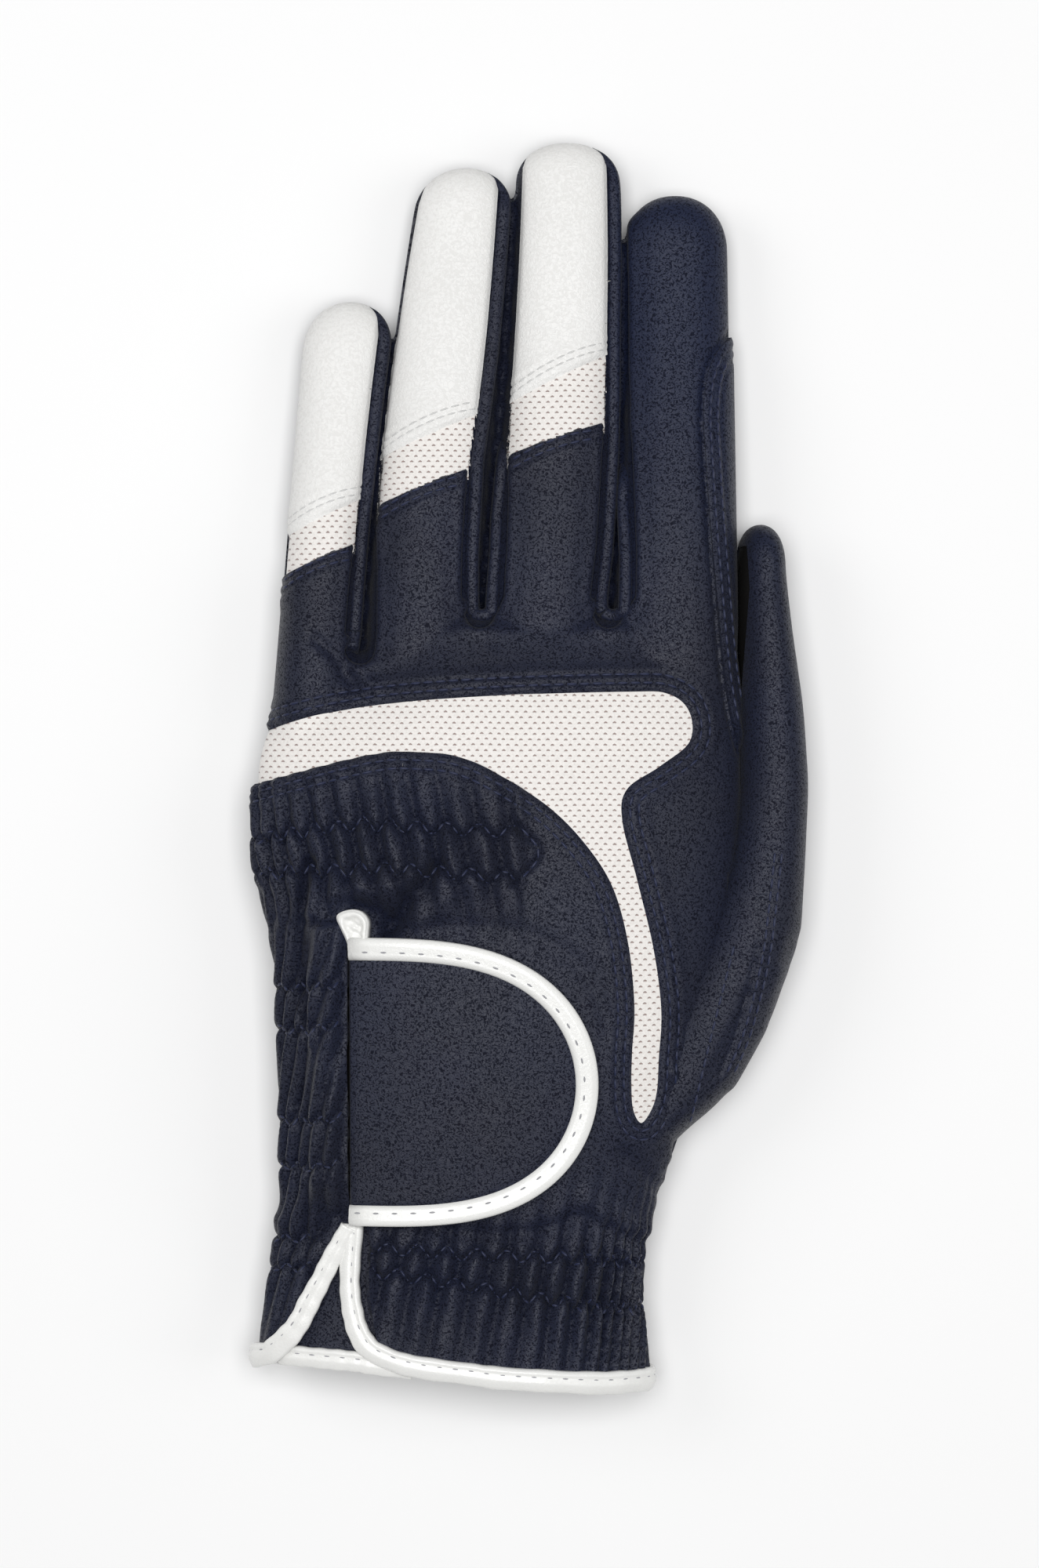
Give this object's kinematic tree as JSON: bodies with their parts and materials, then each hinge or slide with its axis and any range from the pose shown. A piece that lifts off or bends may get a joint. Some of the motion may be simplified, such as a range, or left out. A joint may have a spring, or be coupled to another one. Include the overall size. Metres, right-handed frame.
{
  "type": "horse riding glove",
  "caption": "Left-hand riding glove in navy leather with white leather finger backs, white mesh inserts and a bound round wrist tab.",
  "frame": {"origin": "middle of the footprint, on the surface that the palm lies on", "axes": "+Y from the hem to the fingertips, +Z out of the back of the hand, +X towards the thumb"},
  "size_m": [0.1026, 0.2316, 0.03],
  "materials": {
    "navy_leather": "fine grained, satin",
    "palm_leather": "fine grained, matt",
    "white_leather": "fine grained, satin",
    "white_mesh": "knitted, with rows of small holes",
    "white_binding": "smooth, semi-gloss",
    "dark_knit": "ribbed knit",
    "hook_tape": "hook and loop"
  },
  "bodies": {
    "root": {"palm_panel": "palm_leather", "back_panel": "navy_leather", "little_top": "white_leather", "ring_top": "white_leather", "middle_top": "white_leather", "little_mesh": "white_mesh", "ring_mesh": "white_mesh", "middle_mesh": "white_mesh", "little_ring_gusset": "navy_leather", "ring_middle_gusset": "navy_leather", "middle_index_gusset": "navy_leather", "back_mesh": "white_mesh", "index_side_strip": "navy_leather", "thumb": "navy_leather", "thumb_inset": "dark_knit", "tab": "navy_leather", "tab_binding": "white_binding", "hook_pad": "hook_tape", "slit_loop": "white_binding", "slit_left_binding": "white_binding", "hem_binding": "white_binding", "underlap": "navy_leather", "underlap_binding": "white_binding"}
  },
  "joints": []
}
